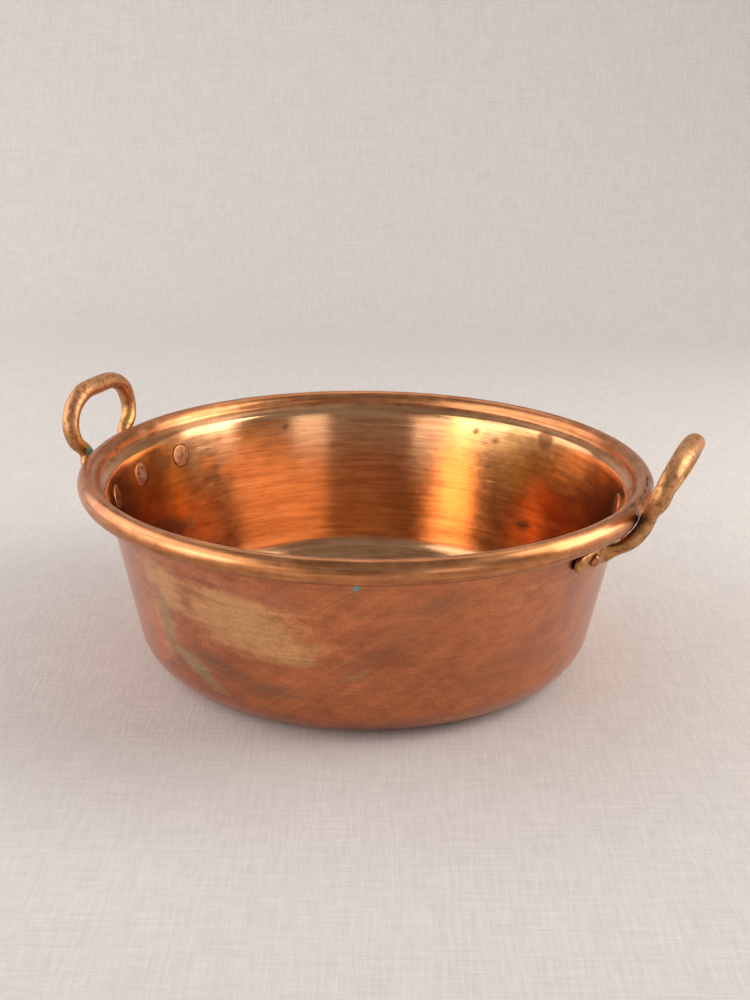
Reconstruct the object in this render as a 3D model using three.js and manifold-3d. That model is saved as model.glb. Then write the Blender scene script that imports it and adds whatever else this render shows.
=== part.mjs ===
// Copper preserving pan: a sheet copper bowl with a wired rim and two riveted bronze loop handles.
// Millimetres, +Z up. The origin is the centre of the flat underside, and the handles stand on the X axis.
import * as THREE from "three";
import { mergeVertices } from "three/addons/utils/BufferGeometryUtils.js";
import Module from "manifold-3d";

const wasm = await Module();
wasm.setup();

// ---- driving dimensions ----
const sheet = 1.8; // copper sheet
const rimRadius = 200; // outside of the rolled bead
const beadHalfWidth = 7;
const beadHalfHeight = 8.2;
const beadZ = 130.5; // middle of the bead
const curlStart = 172; // degrees round the bead, from its outside, where the wall turns into it
const curlEnd = -152; // where the rolled edge stops, close to the wall
const baseRadius = 130.8; // flat underside
const footRadius = 31.3; // outside bend from base to wall
const wallLean = 11.4; // degrees out from upright
const flareZ = 123.5; // the wall turns out into the bead above this height
const wireRadius = 4.8; // iron wire inside the bead
const fitGap = 0.3; // between pieces that lie on each other

const strapZ = 108.5; // middle line of the handle's strap
const strapThickness = 4.5;
const strapHeight = 13;
const strapHalfLength = 72; // along the wall
const rivetArc = 54; // along the wall, from the middle rivet to an end one
const legBaseRadius = 5.3; // handle rod where it passes the bead
const gripHalfDepth = 7.5; // handle rod along the top, across the loop
const gripHalfHeight = 6.4; // and in the plane of the loop
const footSwell = 2; // extra half height of the rod under the bead
const legDistance = 206; // from the pan's axis to the rod, level with the bead
const legHalfGap = 27; // half the distance between the legs there
const loopHalfWidth = 40.5;
const loopHeight = 44; // up the loop, from the bead's middle to the top of the rod's middle line
const handles = {
  // Degrees: where the strap is fixed round the pan, how far the loop leans out, and how far it is
  // twisted about the vertical. They were set by eye, and use has bent the right one further.
  left: { turn: 181.2, lean: 4, twist: -2.8, rearwards: -1 },
  right: { turn: -1, lean: 21, twist: -3.4, rearwards: 1 },
};

const shankRadius = 3.2;
const innerHeadRadius = 8.5;
const innerHeadHeight = 0.6;
const innerHeadGap = 0.6; // the hollow side of the wall comes nearer to a flat head at its edges
const outerHeadRadius = 4.6;
const outerHeadHeight = 3;

const roundSteps = 60; // facets round the pan
const curveSteps = 4; // facets along each bend of the sheet
const wireSides = 6;

// ---- derived sizes ----
const radians = THREE.MathUtils.degToRad;
const lean = radians(wallLean);
const beadRadius = rimRadius - beadHalfWidth;
const wallFoot = new THREE.Vector2(
  baseRadius + footRadius * Math.cos(lean),
  footRadius - footRadius * Math.sin(lean),
);
const wallRadiusAt = (z) => wallFoot.x + (z - wallFoot.y) * Math.tan(lean);
const wallNormal = new THREE.Vector2(Math.cos(lean), -Math.sin(lean)); // outwards, in radius and height

// ---- solids and booleans ----
function toSolid(geometry) {
  const bare = geometry.clone();
  bare.deleteAttribute("normal");
  bare.deleteAttribute("uv");
  const merged = mergeVertices(bare, 1e-4);
  return new wasm.Manifold(
    new wasm.Mesh({
      numProp: 3,
      vertProperties: merged.attributes.position.array,
      triVerts: new Uint32Array(merged.index.array),
    }),
  );
}

function toGeometry(solid) {
  const mesh = solid.getMesh();
  const geometry = new THREE.BufferGeometry();
  geometry.setAttribute("position", new THREE.BufferAttribute(mesh.vertProperties, 3));
  geometry.setIndex(new THREE.BufferAttribute(mesh.triVerts, 1));
  return geometry;
}

// A lathe turns about Y; this stands it on Z.
function lathe(points, steps) {
  return new THREE.LatheGeometry(points, steps).rotateX(Math.PI / 2);
}

// Moves every vertex of a geometry through a function of its old place.
function reshape(geometry, place) {
  const position = geometry.attributes.position;
  const vertex = new THREE.Vector3();
  for (let i = 0; i < position.count; i += 1) {
    vertex.fromBufferAttribute(position, i);
    position.setXYZ(i, ...place(vertex).toArray());
  }
  return geometry;
}

// ---- pan shell ----
// Middle line of the sheet from the axis, along the base, up the wall and round the bead.
function sheetLine() {
  const half = sheet / 2;
  const flareStart = new THREE.Vector2(wallRadiusAt(flareZ), flareZ).addScaledVector(wallNormal, -half);
  const curl = {
    x: beadHalfWidth - half,
    z: beadHalfHeight - half,
    from: radians(curlStart),
    to: radians(curlEnd),
  };
  const flareEnd = new THREE.Vector2(
    beadRadius + curl.x * Math.cos(curl.from),
    beadZ + curl.z * Math.sin(curl.from),
  );
  const curlHeading = new THREE.Vector2(curl.x * Math.sin(curl.from), -curl.z * Math.cos(curl.from)).normalize();
  const reach = flareStart.distanceTo(flareEnd) / 3;
  const line = new THREE.Path();
  line.moveTo(0, half);
  line.lineTo(baseRadius, half);
  line.absarc(baseRadius, footRadius, footRadius - half, -Math.PI / 2, -lean, false);
  line.lineTo(flareStart.x, flareStart.y);
  line.bezierCurveTo(
    flareStart.x + reach * Math.sin(lean),
    flareStart.y + reach * Math.cos(lean),
    flareEnd.x - reach * curlHeading.x,
    flareEnd.y - reach * curlHeading.y,
    flareEnd.x,
    flareEnd.y,
  );
  line.absellipse(beadRadius, beadZ, curl.x, curl.z, curl.from, curl.to, true);
  const points = line.getPoints(curveSteps);
  return points.filter((point, i) => i === 0 || point.distanceTo(points[i - 1]) > 1e-3);
}

// Closed outline half a thickness to each side of a line that starts on the axis.
function thicken(line, thickness) {
  const sides = line.map((point, i) => {
    const before = line[Math.max(i - 1, 0)];
    const after = line[Math.min(i + 1, line.length - 1)];
    const along = after.clone().sub(before).normalize();
    const across = new THREE.Vector2(-along.y, along.x);
    return [1, -1].map((side) => point.clone().addScaledVector(across, (side * thickness) / 2));
  });
  const inner = sides.map((pair) => pair[0]);
  const outer = sides.map((pair) => pair[1]);
  const outline = [...outer, ...inner.reverse()];
  outline[0].x = 0;
  outline[outline.length - 1].x = 0;
  return outline;
}

// ---- places on the wall ----
// A frame on the wall's outside at the strap's height: +Z along the wall's normal, +X along the wall.
function wallPlace(angle, proud) {
  const radius = wallRadiusAt(strapZ) + proud * wallNormal.x;
  const height = strapZ + proud * wallNormal.y;
  const normal = new THREE.Vector3(
    wallNormal.x * Math.cos(angle),
    wallNormal.x * Math.sin(angle),
    wallNormal.y,
  );
  const along = new THREE.Vector3(-Math.sin(angle), Math.cos(angle), 0);
  const up = new THREE.Vector3().crossVectors(normal, along);
  const matrix = new THREE.Matrix4().makeBasis(along, up, normal);
  return matrix.setPosition(radius * Math.cos(angle), radius * Math.sin(angle), height);
}

const rivetAngle = rivetArc / wallRadiusAt(strapZ);
const rivetPlaces = { front: -rivetAngle, middle: 0, rear: rivetAngle };

function rivetHole(angle) {
  const reach = 3 * strapThickness;
  const drill = new THREE.CylinderGeometry(shankRadius + fitGap, shankRadius + fitGap, 2 * reach, 14);
  drill.rotateX(Math.PI / 2);
  return toSolid(drill.applyMatrix4(wallPlace(angle, 0)));
}

// ---- handle ----
// Strap: a box bent round the wall, with its ends drawn in to a blunt nose.
function strapGeometry() {
  const noseLength = 6;
  const box = new THREE.BoxGeometry(2 * strapHalfLength, strapHeight, strapThickness, 28, 2, 1);
  const middle = fitGap + strapThickness / 2;
  return reshape(box, (vertex) => {
    const past = Math.max(0, Math.abs(vertex.x) - (strapHalfLength - noseLength)) / noseLength;
    const narrowing = 1 - 0.45 * past * past;
    const place = wallPlace(vertex.x / wallRadiusAt(strapZ), middle + vertex.z);
    return new THREE.Vector3(0, vertex.y * narrowing, 0).applyMatrix4(place);
  });
}

// Middle line of the rod: along the strap, out under the bead, up past it and over in a wide loop.
function rodCurve(handle) {
  const strapRadius = wallRadiusAt(strapZ) + fitGap + strapThickness / 2;
  const strapDrop = strapZ - beadZ;
  const swing = legDistance - strapRadius;
  const upright = new THREE.Matrix4().makeTranslation(legDistance, 0, beadZ);
  const twisted = upright.multiply(new THREE.Matrix4().makeRotationZ(radians(handle.twist)));
  const leaning = twisted.clone().multiply(new THREE.Matrix4().makeRotationY(radians(handle.lean)));
  const onStrap = (side, arc) => {
    const angle = (side * arc) / strapRadius;
    return new THREE.Vector3(strapRadius * Math.cos(angle), strapRadius * Math.sin(angle), strapZ);
  };
  const under = (side, share, spread, rise) =>
    new THREE.Vector3((share - 1) * swing, side * (legHalfGap + spread), strapDrop + rise).applyMatrix4(twisted);
  const onLoop = (side, across, up) => new THREE.Vector3(0, side * across, up * loopHeight).applyMatrix4(leaning);
  const leg = (side) => [
    onStrap(side, 52),
    onStrap(side, 46),
    under(side, 0.1, 14, 0),
    under(side, 0.6, 8, 4.5),
    under(side, 0.92, 2.5, 11.5),
    onLoop(side, legHalfGap, 0),
    onLoop(side, loopHalfWidth - 2.5, 0.25),
    onLoop(side, loopHalfWidth, 0.5),
    onLoop(side, 0.86 * loopHalfWidth, 0.8),
    onLoop(side, 0.5 * loopHalfWidth, 0.975),
  ];
  const points = [...leg(1), onLoop(1, 0, 1), ...leg(-1).reverse()];
  return new THREE.CatmullRomCurve3(points, false, "centripetal");
}

// Rod: a cylinder carried along its curve, flat where it leaves the strap, tall under the bead and
// thickest at the grip, where it is oval.
function rodGeometry(handle) {
  const curve = rodCurve(handle);
  const out = new THREE.Vector3(1, 0, 0);
  const footShare = 0.14; // part of the curve's length over which the foot turns round
  const swellShare = 0.19; // and over which it is taller under the bead
  const steps = 48;
  const tube = new THREE.CylinderGeometry(1, 1, 1, 10, steps);
  return reshape(tube, (vertex) => {
    const t = THREE.MathUtils.clamp(vertex.y + 0.5, 0, 1);
    const centre = curve.getPointAt(t);
    const along = curve.getTangentAt(t);
    const across = out.clone().addScaledVector(along, -out.dot(along)).normalize();
    const other = new THREE.Vector3().crossVectors(across, along);
    const fromEnd = Math.min(t, 1 - t);
    const round = THREE.MathUtils.smoothstep(fromEnd, 0, footShare);
    const grip = THREE.MathUtils.smoothstep(fromEnd, footShare, 0.5);
    const underBead = THREE.MathUtils.clamp(fromEnd / swellShare, 0, 1);
    const swell = 4 * footSwell * underBead * (1 - underBead);
    const rodDepth = THREE.MathUtils.lerp(legBaseRadius, gripHalfDepth, grip);
    const rodHeight = THREE.MathUtils.lerp(legBaseRadius, gripHalfHeight, grip);
    const halfDepth = THREE.MathUtils.lerp(0.4 * strapThickness, rodDepth, round);
    const halfHeight = THREE.MathUtils.lerp(0.47 * strapHeight, rodHeight, round) + swell;
    return centre.addScaledVector(across, vertex.x * halfDepth).addScaledVector(other, vertex.z * halfHeight);
  });
}

function handleGeometry(handle) {
  let solid = toSolid(strapGeometry()).add(toSolid(rodGeometry(handle)));
  for (const angle of Object.values(rivetPlaces)) {
    solid = solid.subtract(rivetHole(angle));
  }
  return toGeometry(solid);
}

// ---- rivets ----
// Wide low head inside the pan, shank through wall and strap, small domed head outside.
function rivetGeometry() {
  const innerFace = -sheet - innerHeadGap;
  const outerFace = strapThickness + 2 * fitGap;
  const profile = [
    new THREE.Vector2(0, innerFace - innerHeadHeight),
    new THREE.Vector2(0.6 * innerHeadRadius, innerFace - 0.9 * innerHeadHeight),
    new THREE.Vector2(innerHeadRadius, innerFace - 0.35 * innerHeadHeight),
    new THREE.Vector2(innerHeadRadius, innerFace),
    new THREE.Vector2(shankRadius, innerFace),
    new THREE.Vector2(shankRadius, outerFace),
    new THREE.Vector2(outerHeadRadius, outerFace),
    new THREE.Vector2(0.86 * outerHeadRadius, outerFace + 0.5 * outerHeadHeight),
    new THREE.Vector2(0.5 * outerHeadRadius, outerFace + 0.87 * outerHeadHeight),
    new THREE.Vector2(0, outerFace + outerHeadHeight),
  ];
  return lathe(profile, 14);
}

// ---- materials ----
const copper = { color: 0xb06a40, roughness: 0.32, metalness: 1 };
const bronze = { color: 0xa9773f, roughness: 0.42, metalness: 1 };
const rivetCopper = { color: 0x9c6a4e, roughness: 0.45, metalness: 1 };
const iron = { color: 0x4a4642, roughness: 0.6, metalness: 1 };

function addPiece(parent, name, geometry, finish) {
  const mesh = new THREE.Mesh(geometry, new THREE.MeshStandardMaterial(finish));
  mesh.name = name;
  parent.add(mesh);
  return mesh;
}

// ---- assembly ----
const pan = new THREE.Group();

let shell = toSolid(lathe(thicken(sheetLine(), sheet), roundSteps));
for (const { turn } of Object.values(handles)) {
  for (const angle of Object.values(rivetPlaces)) {
    shell = shell.subtract(rivetHole(radians(turn) + angle));
  }
}
addPiece(pan, "pan_shell", toGeometry(shell), copper);

const ring = new THREE.TorusGeometry(beadRadius, wireRadius, wireSides, roundSteps);
addPiece(pan, "rim_wire", ring, iron).position.z = beadZ;

for (const [side, handle] of Object.entries(handles)) {
  const half = new THREE.Group();
  half.rotation.z = radians(handle.turn);
  addPiece(half, `handle_${side}`, handleGeometry(handle), bronze);
  for (const [place, angle] of Object.entries(rivetPlaces)) {
    const rivet = rivetGeometry().applyMatrix4(wallPlace(handle.rearwards * angle, 0));
    addPiece(half, `rivet_${side}_${place}`, rivet, rivetCopper);
  }
  pan.add(half);
}

export default pan;
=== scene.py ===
from math import cos, pi, radians, sin, tan

import bpy
import numpy as np
from mathutils import Matrix, Vector


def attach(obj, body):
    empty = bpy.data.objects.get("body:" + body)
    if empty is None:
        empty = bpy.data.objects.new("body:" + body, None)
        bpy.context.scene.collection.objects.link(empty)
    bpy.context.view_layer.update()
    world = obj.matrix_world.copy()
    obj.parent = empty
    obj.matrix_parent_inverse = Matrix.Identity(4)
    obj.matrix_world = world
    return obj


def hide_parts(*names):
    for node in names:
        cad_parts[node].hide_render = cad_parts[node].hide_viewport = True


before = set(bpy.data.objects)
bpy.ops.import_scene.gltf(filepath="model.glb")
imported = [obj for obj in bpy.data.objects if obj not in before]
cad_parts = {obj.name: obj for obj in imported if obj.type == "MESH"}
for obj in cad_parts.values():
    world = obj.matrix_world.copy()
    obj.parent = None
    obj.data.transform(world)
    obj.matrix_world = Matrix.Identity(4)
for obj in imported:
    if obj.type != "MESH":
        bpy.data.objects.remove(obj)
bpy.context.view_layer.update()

mm = 0.001


def toLinear(hexColour):  # sRGB hex to linear light
    values = [int(hexColour[i:i + 2], 16) / 255 for i in (1, 3, 5)]
    return tuple(v / 12.92 if v <= 0.04045 else ((v + 0.055) / 1.055) ** 2.4 for v in values) + (1.0,)


def addNode(tree, kind, inputs=None, output=0, **settings):
    # one node with its settings and its inputs, values or links; gives back the output asked for
    node = tree.nodes.new("ShaderNode" + kind)
    for name, value in settings.items():
        setattr(node, name, value)
    for socket, value in (inputs or {}).items():
        if isinstance(value, bpy.types.NodeSocket):
            tree.links.new(value, node.inputs[socket])
        else:
            node.inputs[socket].default_value = value
    return node.outputs[output] if node.outputs else None


# What a word in a material's recipe stands for: the node, the inputs in the order a row gives them,
# the output and the settings. Any other word is the operation of a Math node.
recipeWords = {
    "place": ("Mapping", ("Vector", "Scale", "Location"), 0, {}),  # scale is features per metre
    "noise": ("TexNoise", ("Vector", "Scale", "Detail", "Roughness"), "Fac", {}),
    "cells": ("TexVoronoi", ("Vector", "Scale"), "Distance", {}),
    "range": ("MapRange", ("Value", "From Min", "From Max", "To Min", "To Max"), 0, {}),
    "sharpen": ("MapRange", ("Value", "From Min", "From Max", "To Max"), 0,
                {"interpolation_type": "SMOOTHSTEP"}),
    "between": ("Mix", ("Factor", 2, 3), 0, {}),
    "blend": ("Mix", ("Factor", 6, 7), 2, {"data_type": "RGBA"}),
    "scale": ("VectorMath", (0, "Scale"), 0, {"operation": "SCALE"}),
    "bump": ("Bump", ("Height", "Distance"), 0, {}),
}


def startMaterial(name, attributes=()):
    # an empty material, and its values by name: the place on the object and the mesh's own attributes
    material = bpy.data.materials.new(name)
    material.use_nodes = True
    tree = material.node_tree
    tree.nodes.clear()
    values = {"object": addNode(tree, "TexCoord", output="Object")}
    for attribute in attributes:
        values[attribute] = addNode(tree, "Attribute", output="Fac", attribute_name=attribute)
    return material, values


def followRecipe(material, values, rows):
    # A row is a name, a word and the inputs; an input is a number, a #colour or an earlier row's name.
    for name, word, *given in rows:
        kind, sockets, output, settings = recipeWords.get(word, ("Math", (0, 1, 2), 0, {"operation": word}))
        found = [v if not isinstance(v, str) else toLinear(v) if v[0] == "#" else values[v] for v in given]
        values[name] = addNode(material.node_tree, kind, dict(zip(sockets, found)), output, **settings)


def finishMaterial(material, values, **constants):
    # the shader takes the values named colour, metallic, rough and bump, and constants as they are
    inputs = {"Base Color": values["colour"], "Metallic": values["metallic"], "Roughness": values["rough"],
              "Normal": values["bump"]}
    inputs.update({name.replace("_", " "): value for name, value in constants.items()})
    shader = addNode(material.node_tree, "BsdfPrincipled", inputs)
    addNode(material.node_tree, "OutputMaterial", {"Surface": shader})
    return material


def meshFromGrid(name, points, closedU=False, closedV=False, poles=None, capped=False):
    # points[u, v] is a place in mm, each cell of the grid is a quad, and a closed direction wraps round.
    # poles are two points that close the first and the last column of v with fans, and capped
    # closes the first and the last row of u, a ring each, with a fan to its middle.
    nu, nv = points.shape[:2]
    index = np.arange(nu * nv).reshape(nu, nv)
    right = np.roll(index, -1, axis=0) if closedU else index[1:]
    left = index if closedU else index[:-1]
    if closedV:
        corners = (left, right, np.roll(right, -1, axis=1), np.roll(left, -1, axis=1))
    else:
        corners = (left[:, :-1], right[:, :-1], right[:, 1:], left[:, 1:])
    faces = np.stack(corners, axis=-1).reshape(-1, 4).tolist()
    vertices = points.reshape(-1, 3)
    total = nu * nv
    if poles is not None:
        vertices = np.vstack([vertices, poles])
        first = np.stack([right[:, 0], left[:, 0], np.full(len(left), total)], axis=1)
        last = np.stack([left[:, -1], right[:, -1], np.full(len(left), total + 1)], axis=1)
        faces += first.tolist() + last.tolist()
    if capped:
        vertices = np.vstack([vertices, points[0].mean(axis=0), points[-1].mean(axis=0)])
        ahead = np.roll(index, -1, axis=1)
        start = np.stack([index[0], ahead[0], np.full(nv, total)], axis=1)
        end = np.stack([ahead[-1], index[-1], np.full(nv, total + 1)], axis=1)
        faces += start.tolist() + end.tolist()
    mesh = bpy.data.meshes.new(name)
    mesh.from_pydata((vertices * mm).tolist(), [], faces)
    mesh.update()
    return mesh


def addPiece(name, mesh, material):
    piece = bpy.data.objects.new(name, mesh)
    bpy.context.scene.collection.objects.link(piece)
    mesh.polygons.foreach_set("use_smooth", np.ones(len(mesh.polygons), dtype=bool))
    mesh.materials.clear()
    mesh.materials.append(material)
    return piece


def writeAttribute(mesh, name, values):
    values = np.asarray(values, dtype=np.float32)
    kind, key = ("FLOAT_VECTOR", "vector") if values.ndim == 2 else ("FLOAT", "value")
    mesh.attributes.new(name, kind, "POINT").data.foreach_set(key, values.ravel())


def verticesOf(mesh):
    flat = np.empty(3 * len(mesh.vertices))
    mesh.vertices.foreach_get("co", flat)
    return flat.reshape(-1, 3) / mm


def smoothStep(x, low, high):
    t = np.clip((x - low) / (high - low), 0, 1)
    return t * t * (3 - 2 * t)


def wrapped(angle):  # to between -pi and pi
    return (angle + pi) % (2 * pi) - pi


# The pan's own sizes, in mm and degrees; the handles and rivets are fixed to the same wall.
pan = {
    "sheet": 1.8,
    "rimRadius": 199.95,
    "beadHalfWidth": 7.0,
    "beadHalfHeight": 8.2,
    "beadZ": 130.5,
    "curlStart": 172.0,  # round the bead from its outside, where the wall turns into it
    "curlEnd": -152.0,  # and where the rolled edge stops
    "baseRadius": 130.8,
    "footRadius": 31.3,
    "wallLean": 11.4,  # from upright
    "flareZ": 123.5,
    "wireRadius": 4.7,
    "wallWave": 0.06,  # unevenness left by raising the sheet over a stake
    "rimWave": 0.22,  # and in the bead, inwards only
    "legArc": 29.0,  # along the rim from a handle's middle to each leg
    "legDent": 0.7,  # the whole bead, wire and all, pushed inwards there
    "legCrush": 0.5,  # and its outer side flattened further
    "grooveDepth": 0.8,  # a crease along the bead, between the legs and fading out past them
    "grooveTurn": 72.0,  # round the bead from its outside
    "seamHeight": 118.5,  # where a dark line of painted shade runs under the bead
    "streakClimb": 120.0,  # height by which a slanting scratch turns one radian
    "seed": 11,
}
meanRadius = 172.0  # of the wall, for lengths measured round it
strapZ = 108.5
strapThickness = 4.5
fitGap = 0.3
handleTurns = {"left": 181.2, "right": -1.0}  # where each handle is fixed round the pan
rivetArc = 54.0  # along the wall from the middle rivet to the outer ones

lean = radians(pan["wallLean"])
footX = pan["baseRadius"] + pan["footRadius"] * cos(lean)
footZ = pan["footRadius"] * (1 - sin(lean))
beadX = pan["rimRadius"] - pan["beadHalfWidth"]


def wallRadiusAt(z):
    return footX + (z - footZ) * tan(lean)


# ---- copper pan ----

# Patches of tarnish: degrees round the pan, height, half length along the wall, half height,
# rise per mm along, weight
patches = {
    "tan": [  # thin yellowish film where the outside was polished last
        (-98, 82, 42, 22, -0.1, 1.0), (-88, 64, 26, 10, 0.1, 0.8), (-118, 90, 26, 18, -0.3, 0.8),
        (-122, 60, 22, 34, 0, 0.5), (-38, 96, 22, 9, 0.5, 0.25), (60, 80, 40, 20, 0.1, 0.8),
        (150, 60, 50, 18, -0.1, 0.7), (-150, 80, 26, 26, 0, 0.6), (100, 95, 30, 12, 0, 0.5),
    ],
    "oxide": [  # red and brown oxide, heated where flames came past the foot
        (-98, 106, 24, 5, -0.16, 1.0), (-108, 112, 20, 5, -0.35, 0.9), (-89, 103, 12, 6, -0.1, 1.0),
        (-76, 116, 30, 2.5, 0, 0.4), (35, 104, 30, 7, 0.2, 0.8), (130, 98, 34, 8, -0.2, 0.9),
        (-160, 100, 20, 8, 0.2, 0.7),
    ],
    "red": [(-125.6, 52, 3.0, 19, 0.0, 1.0), (-127.5, 90, 3, 16, 0, 0.5), (-126, 36, 3.5, 9, 0, 1.0),
            (-101, 14, 30, 3, 0, 0.5), (80, 50, 4, 22, 0, 0.7)],
    "brown": [  # thicker brown tarnish
        (-104, 44, 30, 8, -0.25, 0.7), (-92, 34, 34, 7, 0.0, 0.6), (-55, 102, 26, 10, 0.2, 0.5),
        (-68, 68, 40, 12, 0.75, 0.42), (-40, 50, 40, 20, 0.3, 0.35), (20, 60, 50, 20, 0.3, 0.6),
        (120, 50, 60, 16, 0.1, 0.8), (-170, 50, 40, 18, 0, 0.6),
    ],
    "greyGreen": [(-112, 36, 22, 8, -0.5, 1.0), (-120, 62, 6, 26, -1.2, 0.8), (-84, 58, 14, 3, 0.1, 0.5),
                  (-73, 52, 12, 3, 0.3, 0.5), (160, 30, 30, 8, 0, 0.8)],
    "stain": [  # inside: orange-red where something acid dried
        (50, 76, 24, 11, 0.3, 1.0), (62, 69, 14, 6, 0.1, 0.8), (38, 84, 14, 8, 0.3, 0.8),
        (155, 95, 12, 11, 0, 0.7), (149, 88, 14, 6, 0, 0.6), (-60, 70, 30, 12, 0, 0.6),
    ],
    "spots": [  # inside: round brown marks
        (57.5, 121, 9, 11, 0, 1.0), (74.3, 90, 4, 4, 0, 0.9), (73, 111, 5, 4, 0, 0.8),
        (79, 116, 3.5, 3, 0, 0.9), (165, 127, 15, 10, 0, 0.9), (170, 108, 16, 8, 0, 0.6),
        (131, 115, 4, 4, 0, 0.7), (60, 52, 12, 6, 0, 0.7), (176, 60, 40, 14, 0.2, 0.9),
        (-20, 100, 12, 8, 0, 0.6), (-110, 60, 20, 9, 0, 0.6),
    ],
    "yellow": [  # inside: cleaned brighter
        (82, 90, 20, 70, 0, 0.9), (62, 100, 60, 40, 0, 0.65), (158, 72, 26, 12, 0, 0.6),
        (142, 112, 10, 14, 0, 0.5), (-90, 60, 60, 30, 0, 0.5), (176, 84, 46, 50, 0, 0.9),
    ],
}
# Green spots on the outside: degrees round the pan, height, size in mm
greenSpots = ((-95.3, 104.5, 1.9), (-72.7, 115, 1.7), (-71.6, 114.4, 1.2), (-67.6, 114.3, 1.4),
              (-20.5, 115, 2.2), (-99, 112, 1.6), (120, 112, 2))
greenRadius = 176.0  # of the wall at the spots' height


def patchField(angle, height, spots):
    # Greatest of soft ellipses:
    # weight * exp(-(arc / halfArc)^2 - ((height - level - rise * arc) / halfHeight)^2).
    field = np.zeros_like(height)
    for turn, level, halfArc, halfHeight, rise, weight in spots:
        arc = wrapped(angle - radians(turn)) * meanRadius
        high = (height - level - rise * arc) / halfHeight
        field = np.maximum(field, weight * np.exp(-(arc / halfArc) ** 2 - high ** 2))
    return field


def sheetPath(p):
    # Middle line of the sheet in (radius, height): flat base, arc to the wall's lean, straight wall,
    # cubic flare, ellipse round the wire. Also how much of each point belongs to the bead.
    half = p["sheet"] / 2
    out = np.linspace(0, 1, 13)[1:] ** 0.75 * p["baseRadius"]
    base = np.stack([out, np.full_like(out, half)], axis=1)
    turn = np.linspace(-pi / 2, -lean, 14)[1:]
    bend = p["footRadius"] - half
    foot = np.stack([p["baseRadius"] + bend * np.cos(turn), p["footRadius"] + bend * np.sin(turn)], axis=1)
    rise = np.linspace(foot[-1, 1], p["flareZ"], 24)[1:]
    wall = np.stack([foot[-1, 0] + (rise - foot[-1, 1]) * tan(lean), rise], axis=1)
    ex, ez = p["beadHalfWidth"] - half, p["beadHalfHeight"] - half
    angles = np.radians(np.linspace(p["curlStart"], p["curlEnd"], 42))
    curl = np.stack([beadX + ex * np.cos(angles), p["beadZ"] + ez * np.sin(angles)], axis=1)
    heading = np.array([ex * sin(angles[0]), -ez * cos(angles[0])])
    heading /= np.linalg.norm(heading)
    reach = np.linalg.norm(curl[0] - wall[-1]) / 3
    t = np.linspace(0, 1, 9)[1:-1, None]
    begin, finish = wall[-1], curl[0]
    leave = begin + reach * np.array([sin(lean), cos(lean)])
    arrive = finish - reach * heading
    early, late = 3 * (1 - t) ** 2 * t, 3 * (1 - t) * t ** 2
    flare = (1 - t) ** 3 * begin + early * leave + late * arrive + t ** 3 * finish
    line = np.vstack([base, foot, wall, flare, curl])
    plain = np.zeros(len(line) - len(curl) - len(flare))
    bead = np.concatenate([plain, np.linspace(0, 1, len(flare)), np.ones(len(curl))])
    return line, bead


def panOutline(p):
    # Both faces of the sheet, half a thickness each side of its middle line, joined by the rounded edge.
    line, bead = sheetPath(p)
    half = p["sheet"] / 2
    along = np.gradient(line, axis=0)
    along /= np.linalg.norm(along, axis=1)[:, None]
    inward = np.stack([-along[:, 1], along[:, 0]], axis=1)
    flat = line[:, 1] <= half + 1e-6
    inward[flat] = (0, 1)
    turn = np.linspace(-pi / 2, pi / 2, 7)[1:-1, None]
    edge = line[-1] + half * (np.cos(turn) * along[-1] + np.sin(turn) * inward[-1])
    outline = np.vstack([line - half * inward, edge, (line + half * inward)[::-1]])
    beadShare = np.concatenate([bead, np.ones(len(edge)), bead[::-1]])
    inside = np.concatenate([np.zeros(len(line)), np.linspace(0, 1, len(edge)), np.ones(len(line))])
    return outline, beadShare, inside


def panAngles():
    # a step of 1 degree round the pan, and 0.45 near the handles
    fine = np.concatenate([np.arange(turn - 14, turn + 14, 0.45) for turn in handleTurns.values()]) % 360
    coarse = np.arange(0, 360, 1.0)
    away = np.min([np.abs((coarse - turn + 180) % 360 - 180) for turn in handleTurns.values()], axis=0)
    return np.radians(np.sort(np.concatenate([fine, coarse[away > 14.3]])))


def besideLegs(p, angle, width):
    # a bell curve of arc length round the rim at each of the four legs
    arcs = [np.abs(wrapped(angle - radians(turn)) * p["rimRadius"]) for turn in handleTurns.values()]
    return sum(np.exp(-((arc - p["legArc"]) / width) ** 2) for arc in arcs)


def legDent(p, angle):  # how far the bead and the wire are pushed inwards
    return p["legDent"] * besideLegs(p, angle, 8)


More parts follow.
